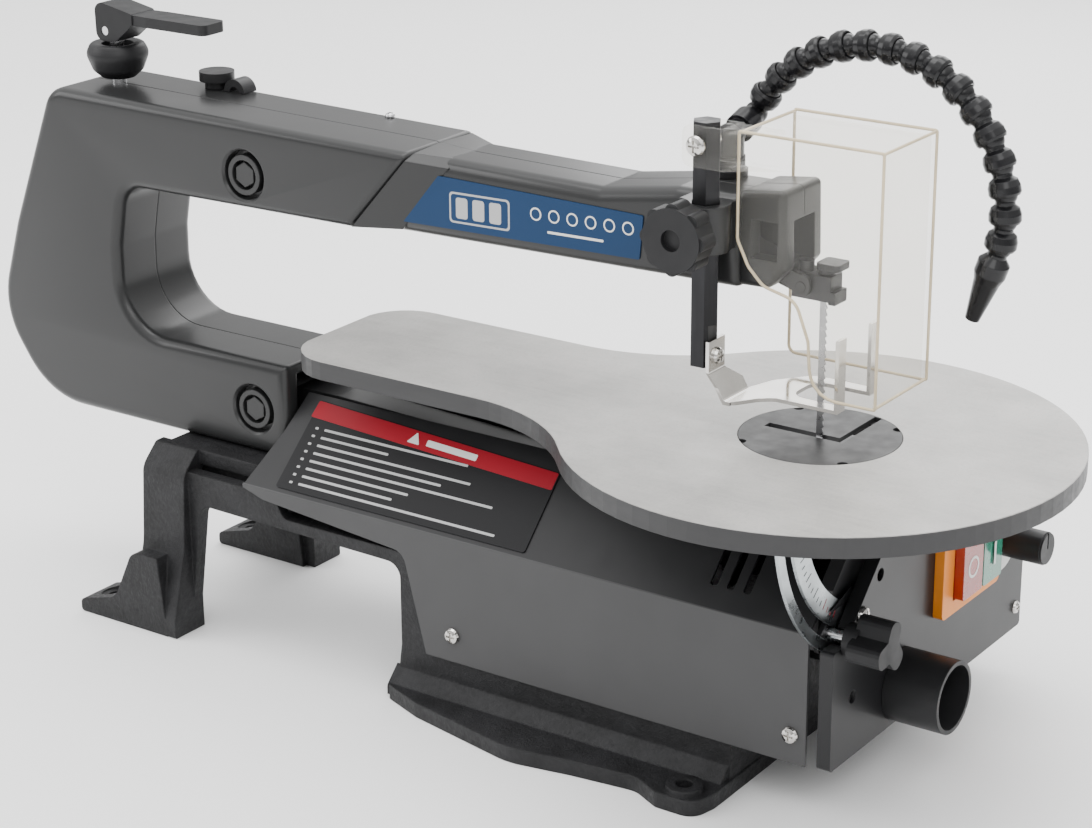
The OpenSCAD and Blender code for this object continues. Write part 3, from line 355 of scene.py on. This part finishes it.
FINISH = {
    "base_casting": "casting", "frame_shell_left": "frame", "frame_shell_right": "frame",
    "frame_pivot_pins": "frame", "pivot_caps": "frame", "frame_screws": "steel",
    "arm_label": "blue_print", "side_cover": "side", "warning_panel": "dark_print",
    "front_panel": "panel", "motor_cover": "cover", "cover_screws": "chrome",
    "motor_body": "bracket", "motor_shaft": "steel", "eccentric": "steel", "drive_link": "alloy",
    "control_box": "black", "switch_plate": "orange", "red_button": "red", "green_button": "green",
    "speed_dial": "white", "speed_knob": "black", "dust_port": "black", "cable_gland": "black",
    "air_bellows": "rubber", "air_tube": "tube", "top_cap": "black", "upper_arm": "bracket",
    "lower_arm": "bracket", "arm_bushes": "bronze", "lower_arm_bush": "bronze",
    "tension_rod": "steel", "tension_spring": "steel", "tension_collar": "knob",
    "tension_lever": "knob", "upper_blade_clamp": "clamp", "clamp_thumb_tab": "clamp",
    "lower_blade_clamp": "clamp", "blade": "blade", "table": "table", "table_insert": "insert",
    "table_trunnions": "bracket", "tilt_quadrant": "zinc", "trunnion_saddles": "bracket",
    "tilt_pointer": "rod", "tilt_lock_knob": "knob", "tilt_lock_stud": "steel",
    "rod_holder": "frame", "rod_clamp_knob": "knob", "guide_rod": "rod", "hold_down_foot": "chrome",
    "foot_screw": "chrome", "blade_guard": "guard", "guard_screw": "chrome",
    "hose_fitting": "black", "hose_lower": "gloss", "hose_middle": "gloss",
    "hose_upper": "gloss", "hose_front": "gloss", "hose_end": "gloss", "hose_nozzle": "gloss",
}
for name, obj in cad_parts.items():
    if not obj.material_slots:
        obj.data.materials.append(None)
    for material_slot in obj.material_slots:
        material_slot.material = M[FINISH[name]]


# ---------------------------------------------------------------- mesh helpers
def add_mesh(name, verts, faces, material, body, smooth_angle=35):
    """A new piece from points about the blade, riding on a body."""
    mesh = bpy.data.meshes.new(name)
    mesh.from_pydata([place(*v) for v in verts], [], faces)
    bm = bmesh.new()
    bm.from_mesh(mesh)
    bmesh.ops.remove_doubles(bm, verts=bm.verts, dist=1e-6)
    bmesh.ops.recalc_face_normals(bm, faces=bm.faces)
    bm.to_mesh(mesh)
    bm.free()
    obj = bpy.data.objects.new(name, mesh)
    bpy.context.scene.collection.objects.link(obj)
    mesh.materials.append(M[material])
    shade(obj, smooth_angle)
    if body:
        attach(obj, body)
    return obj


def shade(obj, angle=35):
    for poly in obj.data.polygons:
        poly.use_smooth = True
    if angle < 180:
        obj.data.set_sharp_from_angle(angle=math.radians(angle))


def unit(v):
    n = math.hypot(*v)
    return (v[0] / n, v[1] / n)


def round_corner(p, a, b, n):
    """n + 1 points of a fillet of radius p[2] at corner p."""
    u = unit((a[0] - p[0], a[1] - p[1]))
    w = unit((b[0] - p[0], b[1] - p[1]))
    half = math.acos(max(-1, min(1, u[0] * w[0] + u[1] * w[1]))) / 2
    if p[2] < 0.02 or half > math.radians(89.5):
        return [(p[0], p[1])] * (n + 1)
    m = unit((u[0] + w[0], u[1] + w[1]))
    c = (p[0] + m[0] * p[2] / math.sin(half), p[1] + m[1] * p[2] / math.sin(half))
    t = p[2] / math.tan(half)
    s = (p[0] + u[0] * t - c[0], p[1] + u[1] * t - c[1])
    e = (p[0] + w[0] * t - c[0], p[1] + w[1] * t - c[1])
    a0 = math.atan2(s[1], s[0])
    d = (math.atan2(e[1], e[0]) - a0 + math.pi) % (2 * math.pi) - math.pi
    angles = [a0 + d * i / n for i in range(n + 1)]
    return [(c[0] + p[2] * math.cos(a), c[1] + p[2] * math.sin(a)) for a in angles]


def rounded(points, n=8):
    """Outline of (u, v, radius) corners as a closed run of points."""
    m = len(points)
    return [q for i in range(m)
            for q in round_corner(points[i], points[i - 1], points[(i + 1) % m], n)]


def inset(points, d):
    """Counter-clockwise outline of (u, v, radius) moved inwards by d."""
    out = []
    m = len(points)
    for i, p in enumerate(points):
        a, b = points[i - 1], points[(i + 1) % m]
        e = unit((p[0] - a[0], p[1] - a[1]))
        f = unit((b[0] - p[0], b[1] - p[1]))
        k = e[0] * f[1] - e[1] * f[0]
        ne, nf = (-e[1], e[0]), (-f[1], f[0])
        g = 1 + ne[0] * nf[0] + ne[1] * nf[1]
        q = (p[0] + d * (ne[0] + nf[0]) / g, p[1] + d * (ne[1] + nf[1]) / g)
        outward = p[2] + (d if p[2] > 0 else 0)
        out.append((q[0], q[1], max(p[2] - d, 0) if k > 0 else outward))
    return out


def slab(name, points, layers, to_point, material, body, n=8, angle=35):
    """Solid lofted through rings: layers are (depth along the axis, inset of the outline)."""
    verts, faces = [], []
    count = len(points) * (n + 1)
    for depth, d in layers:
        verts += [to_point(depth, u, v) for u, v in rounded(inset(points, d), n)]
    for k in range(len(layers) - 1):
        for i in range(count):
            j = (i + 1) % count
            faces.append((k * count + i, k * count + j, (k + 1) * count + j, (k + 1) * count + i))
    faces.append(tuple(range(count)))
    faces.append(tuple(range((len(layers) - 1) * count, len(layers) * count)))
    return add_mesh(name, verts, faces, material, body, angle)


def along_x(depth, u, v):
    return (depth, u, v)


def along_y(depth, u, v):
    return (u, depth, v)


END_BREAK = 0.35         # small chamfer where two shells meet


def edge_layers(outer, inner, radius, steps=6):
    """Rings from a rounded face at outer to a plain end at inner."""
    sign = 1 if inner > outer else -1
    rings = []
    for k in range(steps + 1):
        t = math.pi / 2 * k / steps
        rings.append((outer + sign * radius * (1 - math.cos(t)), radius * (1 - math.sin(t))))
    return rings + [(inner - sign * END_BREAK, 0), (inner, END_BREAK)]


def cut(obj, cutters):
    """Boolean difference, applied."""
    for tool in cutters:
        mod = obj.modifiers.new("cut", "BOOLEAN")
        mod.object = tool
        mod.solver = "EXACT"
        bpy.context.view_layer.update()
        depsgraph = bpy.context.evaluated_depsgraph_get()
        mesh = bpy.data.meshes.new_from_object(obj.evaluated_get(depsgraph))
        obj.modifiers.clear()
        obj.data = mesh
        bpy.data.objects.remove(tool)
    shade(obj)
    return obj


def tool_box(lo, hi):
    """Box-shaped cutter."""
    x0, y0, z0 = lo
    x1, y1, z1 = hi
    verts = [(x, y, z) for x in (x0, x1) for y in (y0, y1) for z in (z0, z1)]
    faces = [(0, 1, 3, 2), (4, 6, 7, 5), (0, 4, 5, 1), (2, 3, 7, 6), (0, 2, 6, 4), (1, 5, 7, 3)]
    return add_mesh("tool", verts, faces, "frame", None)


def circle(u, v, r, n):
    """n points round the centre (u, v)."""
    angles = [2 * math.pi * i / n for i in range(n)]
    return [(u + r * math.cos(a), v + r * math.sin(a)) for a in angles]


def tool_round_x(x0, x1, y, z, r, flare, n=48):
    """Round cutter along X; flare widens its x0 end into a soft lip."""
    rings = [(x0, r + flare), (x0 + (flare if x1 > x0 else -flare), r), (x1, r)]
    verts, faces = [], []
    for x, ring_r in rings:
        verts += [(x, *point) for point in circle(y, z, ring_r, n)]
    for k in range(len(rings) - 1):
        for i in range(n):
            j = (i + 1) % n
            faces.append((k * n + i, k * n + j, (k + 1) * n + j, (k + 1) * n + i))
    faces += [tuple(range(n)), tuple(range((len(rings) - 1) * n, len(rings) * n))]
    return add_mesh("tool", verts, faces, "frame", None)


# ---------------------------------------------------------------- C frame housing
# Outlines are (y, z, corner radius), as in the CAD source
PIVOT_Y, UPPER_Z, LOWER_Z = 322, 83.5, -43.5
FRAME_HALF, ARM_HALF, NOSE_HALF = 30, 22, 18
FRAME_EDGE, ARM_EDGE, NOSE_EDGE = 5.5, 7, 3.5        # edge roundings
FRAME_OUTLINE = [(214, 109.5, 3), (253, 66.3, 3), (407, 64.5, 14), (413.5, 30, 20),
                 (414, -16.5, 30), (300, -16.5, 2), (300, -67.5, 2), (474, -67.5, 48),
                 (507, -20, 45), (490, 33, 80), (458, 112.5, 16)]
ARM_OUTLINE = [(34, 70.5, 3), (262, 65.8, 0), (262, 108.3, 0), (110, 107, 12), (68, 113.5, 12),
               (34, 114, 4)]
NOSE_OUTLINE = [(36, 71.5, 2), (36, 116, 3), (12, 119, 3), (11, 82, 3), (20, 72, 6)]
FORK_HALF, FORK_TOP = 9.5, 104                       # slot that the upper clamp moves in
CAP_R, CAP_LIP, CAP_DEPTH = 13, 3.2, 7               # recesses of the two pivot caps
# Corners of the fairing, as (distance from the middle, y, z)
FAIRING = [(29.6, 218, 106), (29.6, 252, 67.5), (22, 197, 103.5), (22, 226, 68.5),
           (24, 216, 109.2), (16, 196, 107.4), (0, 218, 109.3), (0, 196, 107.6), (0, 250, 66.5),
           (0, 226, 67.5)]


def fairing_mesh(name, side):
    """Slanting fairing where the wide housing meets the forward arm."""
    bm = bmesh.new()
    for x, y, z in FAIRING:
        bm.verts.new(place(side * x, y, z))
    bmesh.ops.convex_hull(bm, input=bm.verts)
    mesh = bpy.data.meshes.new(name)
    bm.to_mesh(mesh)
    bm.free()
    mesh.materials.append(M["frame"])
    obj = bpy.data.objects.new(name, mesh)
    bpy.context.scene.collection.objects.link(obj)
    shade(obj, 25)
    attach(obj, "machine")
    return obj


def housing(side):
    """One shell of the C-shaped housing; side is -1 for left, 1 for right."""
    node = "frame_shell_left" if side < 0 else "frame_shell_right"
    main = slab(node + "_skin", FRAME_OUTLINE, edge_layers(side * FRAME_HALF, 0, FRAME_EDGE),
                along_x, "frame", "machine", 10)
    arm = slab(node + "_arm", ARM_OUTLINE, edge_layers(side * ARM_HALF, 0, ARM_EDGE),
               along_x, "frame", "machine", 10)
    recesses = [tool_round_x(side * (FRAME_HALF + 2), side * (FRAME_HALF - CAP_DEPTH), PIVOT_Y, z,
                             CAP_R, CAP_LIP) for z in (UPPER_Z, LOWER_Z)]
    arm_mouth = tool_box((-20, 290, -60), (20, 316, -22))       # the lower arm leaves here
    cut(main, recesses + [arm_mouth])
    cut(arm, [tool_box((-FORK_HALF, 30, 60), (FORK_HALF, 63, FORK_TOP))])
    # Forked nose inside the guard, with an opening in its near side
    nose = slab(node + "_nose", NOSE_OUTLINE, edge_layers(side * NOSE_HALF, 0, NOSE_EDGE),
                along_x, "frame", "machine", 8)
    openings = [tool_box((-FORK_HALF, 5, 60), (FORK_HALF, 63, FORK_TOP))]
    if side < 0:
        openings.append(tool_box((-20, 15, 86), (-9, 29, FORK_TOP)))
    cut(nose, openings)
    fairing = fairing_mesh(node + "_fairing", side)
    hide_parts(node)


housing(-1)
housing(1)


# ---------------------------------------------------------------- labels
def plate(name, points, depth0, depth1, to_point, material, body, n=4):
    """Flat piece between two depths."""
    return slab(name, points, [(depth0, 0), (depth1, 0)], to_point, material, body, n)


LABEL_X = -ARM_HALF - 0.8                            # outer face of the arm's blue panel
LABEL_SLOPE, LABEL_MID = (76.5 - 73) / (86 - 228), 150


def rounded_tag(name, y0, z0, y1, z1, r, material, lift=0.12):
    """Flat mark on the arm's blue panel; y0 > y1 because the panel is read towards -Y."""
    near, far = (y0 - LABEL_MID) * LABEL_SLOPE, (y1 - LABEL_MID) * LABEL_SLOPE
    pts = [(y0, z0 + near, r), (y1, z0 + far, r), (y1, z1 + far, r), (y0, z1 + near, r)]
    return plate(name, pts[::-1], LABEL_X - lift, LABEL_X + 0.1, along_x, material, "machine")


def label_marks():
    """Plain stripes and rings: decoration only, with no lettering."""
    rounded_tag("arm_label_block", 196, 78.5, 160, 94, 2.0, "grey_print", 0.10)
    rounded_tag("arm_label_block_inner", 195, 79.5, 161, 93, 1.6, "blue_print", 0.16)
    for k in range(3):
        y = 192 - k * 10
        rounded_tag(f"arm_label_stripe_{k}", y, 81, y - 7, 91.5, 1.4, "grey_print", 0.2)
    for k in range(6):
        y = 148 - k * 10.5
        rounded_tag(f"arm_label_dot_{k}", y, 86, y - 6.5, 92.5, 3.2, "white", 0.12)
        rounded_tag(f"arm_label_dot_inner_{k}", y - 0.8, 86.8, y - 5.7, 91.7, 2.4,
                    "blue_print", 0.18)
    rounded_tag("arm_label_line", 138, 80.6, 106, 81.8, 0.5, "white", 0.12)


label_marks()

PANEL_FACE, ROW_H = 0.65, 1.3                        # warning panel's face, height of a bar


def on_slope(depth, u, v):
    """u runs along Y and v up the 45 degree slope; depth is proud of the slope."""
    c = math.sqrt(0.5)
    return (COVER_X + v * c - depth * c, u, RIDGE_Z + v * c + depth * c)


def warning_row(name, y0, y1, v):
    """One bar of the imitated text."""
    outline = [(y0, v, 0.4), (y1, v, 0.4), (y1, v + ROW_H, 0.4), (y0, v + ROW_H, 0.4)]
    plate(name, outline, PANEL_FACE, PANEL_FACE + 0.13, on_slope, "grey_print", "machine", 2)


def warning_marks():
    """Band, triangle, bar and rows: decoration only, with no lettering."""
    band = [(131.6, 37.5, 0.8), (287, 44.8, 0.8), (286.2, 54.4, 0.8), (131.6, 46.9, 0.8)]
    plate("warning_band", band, PANEL_FACE, PANEL_FACE + 0.15, on_slope, "red_print", "machine")
    triangle = [(216, 43.6, 0.4), (224, 44.0, 0.4), (219.8, 50.2, 0.4)]
    bar = [(180, 42.6, 0.6), (212, 44.1, 0.6), (212, 47.6, 0.6), (180, 46.1, 0.6)]
    for name, outline in (("triangle", triangle), ("bar", bar)):
        plate(f"warning_band_{name}", outline, PANEL_FACE + 0.1, PANEL_FACE + 0.25, on_slope,
              "white", "machine")
    for k, length in enumerate((92, 44, 98, 82, 116, 66, 58, 124)):
        v = 38.6 - k * 4.55
        warning_row(f"warning_row_{k}", 275 - length, 275, v)
        warning_row(f"warning_row_dot_{k}", 279, 281, v)


warning_marks()


# Dark inner sheet behind the rocking arm, under the table's neck
plate("inner_shield", [(132, -87, 1), (290, -87, 1), (290, -33, 3), (132, -33, 3)],
      14, 15.2, along_x, "bracket", "machine")


# ---------------------------------------------------------------- switch marks and tilt scale
PLATE_Y = -46                                        # front of the switch plate
SCALE_R, SCALE_START = 80.5, 193                     # tilt scale: rim radius, first mark's degrees


def ring_y(name, x, z, r0, r1, y0, y1, material, body, n=40):
    """Flat ring standing on the front of a button."""
    verts, faces = [], []
    for y, r in ((y0, r0), (y0, r1), (y1, r1), (y1, r0)):
        verts += [(u, y, v) for u, v in circle(x, z, r, n)]
    for k in range(4):
        for i in range(n):
            j, m = (i + 1) % n, (k + 1) % 4
            faces.append((k * n + i, k * n + j, m * n + j, m * n + i))
    return add_mesh(name, verts, faces, material, body)


def switch_marks():
    """Ring on the stop button and bar on the start button."""
    ring_y("stop_ring", 64.9, -77.5, 4.2, 5.6, PLATE_Y - 5.15, PLATE_Y - 4.5,
           "white", "red_button")
    bar = [(85.5, -83.5, 0.3), (87.3, -83.5, 0.3), (87.3, -71.5, 0.3), (85.5, -71.5, 0.3)]
    plate("start_bar", bar, PLATE_Y - 6.1, PLATE_Y - 5.8, along_y, "white", "green_button")


def scale_marks():
    """A mark each 3 degrees of tilt, longer each 9; the last ones are red."""
    half = 0.22
    for k in range(0, 46, 3):
        angle = math.radians(SCALE_START + k)
        c, s = math.cos(angle), math.sin(angle)
        inner = 77.8 if k % 9 else 75.2
        corners = ((inner, -half), (SCALE_R, -half), (SCALE_R, half), (inner, half))
        pts = [(r * c + t * s, r * s - t * c, 0.0) for r, t in corners]
        ink = "red_print" if k > 34 else "dark_print"
        plate(f"tilt_mark_{k}", pts, -33.08, -32.95, along_y, ink, "table", 1)


switch_marks()
scale_marks()


# ---------------------------------------------------------------- clear guard edges
GUARD_HALF, EDGE_R = 25.4, 0.75
GUARD_X = GUARD_HALF - 0.5                           # centre lines of the edges
GUARD_FRONT, GUARD_REAR, GUARD_FLOOR, GUARD_ROOF = -40.5, 31.5, 28.5, 145.5
GUARD_NEAR = [(-41, 28, 1), (-8, 28, 14), (-6, 54, 8), (1, 72, 10), (18, 76, 10), (26, 84, 10),
              (32, 96, 6), (32, 146, 1), (-41, 146, 1)]
GUARD_FAR = [(-41, 28, 1), (32, 28, 4), (32, 146, 1), (-41, 146, 1)]


def wire(name, points, closed=False):
    """Bright edge of the clear guard, along points about the blade."""
    curve = bpy.data.curves.new(name, "CURVE")
    curve.dimensions = "3D"
    curve.bevel_depth = EDGE_R / 1000
    curve.bevel_resolution = 2
    spline = curve.splines.new("POLY")
    spline.points.add(len(points) - 1)
    for p, co in zip(spline.points, points):
        p.co = (*place(*co), 1)
    spline.use_cyclic_u = closed
    curve.materials.append(M["amber"])
    obj = bpy.data.objects.new(name, curve)
    bpy.context.scene.collection.objects.link(obj)
    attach(obj, "guard")


wire("guard_edge_near", [(-GUARD_X, u, v) for u, v in rounded(GUARD_NEAR, 5)], True)
wire("guard_edge_far", [(GUARD_X, u, v) for u, v in rounded(GUARD_FAR, 5)], True)
for edge_z in (GUARD_FLOOR, GUARD_ROOF):
    wire(f"guard_edge_front_{int(edge_z)}",
         [(-GUARD_X, GUARD_FRONT, edge_z), (GUARD_X, GUARD_FRONT, edge_z)])
wire("guard_edge_rear", [(-GUARD_X, GUARD_REAR, GUARD_ROOF), (GUARD_X, GUARD_REAR, GUARD_ROOF)])


# ---------------------------------------------------------------- floor, light
FLOOR_HALF, FLOOR_Z = 30, -0.0002                    # metres
HORIZON, ZENITH = 0.3, 2.3                           # brightness of the sky


def add_floor():
    mesh = bpy.data.meshes.new("floor")
    corners = [(-1, -1), (1, -1), (1, 1), (-1, 1)]
    mesh.from_pydata([(FLOOR_HALF * x, FLOOR_HALF * y, FLOOR_Z) for x, y in corners],
                     [], [(0, 1, 2, 3)])
    obj = bpy.data.objects.new("floor", mesh)
    mesh.materials.append(floor_material())
    bpy.context.scene.collection.objects.link(obj)


def add_area(name, location, target, size, power):
    """Rectangular lamp aimed at target; metres and watts."""
    data = bpy.data.lights.new(name, "AREA")
    data.shape = "RECTANGLE"
    data.size, data.size_y = size
    data.energy = power
    obj = bpy.data.objects.new(name, data)
    obj.location = location
    obj.rotation_euler = (Vector(target) - Vector(location)).to_track_quat("-Z", "Y").to_euler()
    bpy.context.scene.collection.objects.link(obj)


def add_world():
    """Studio sky: bright overhead and dim at the horizon, so the sides stay dark."""
    world = bpy.data.worlds.new("studio")
    world.use_nodes = True
    tree = world.node_tree
    background = tree.nodes["Background"]
    background.inputs[1].default_value = 1.0
    coords = tree.nodes.new("ShaderNodeTexCoord")
    split = tree.nodes.new("ShaderNodeSeparateXYZ")
    tree.links.new(coords.outputs["Generated"], split.inputs[0])
    height = tree.nodes.new("ShaderNodeMapRange")
    height.inputs["From Min"].default_value = -0.05
    height.inputs["From Max"].default_value = 0.85
    height.inputs["To Min"].default_value = HORIZON
    height.inputs["To Max"].default_value = ZENITH
    tree.links.new(split.outputs["Z"], height.inputs["Value"])
    tree.links.new(height.outputs["Result"], background.inputs[0])
    bpy.context.scene.world = world


add_floor()
add_world()
add_area("key_light", (-1.3, -1.0, 1.7), (0, 0.1, 0.15), (1.2, 1.2), 12)
add_area("top_light", (0.1, 0.3, 1.9), (0, 0.2, 0.15), (1.6, 1.0), 22)
add_area("fill_light", (1.5, 0.5, 1.0), (0, 0.2, 0.15), (1.2, 1.2), 12)
add_area("rim_light", (-0.9, 1.7, 1.0), (0, 0.2, 0.2), (1.0, 0.8), 10)
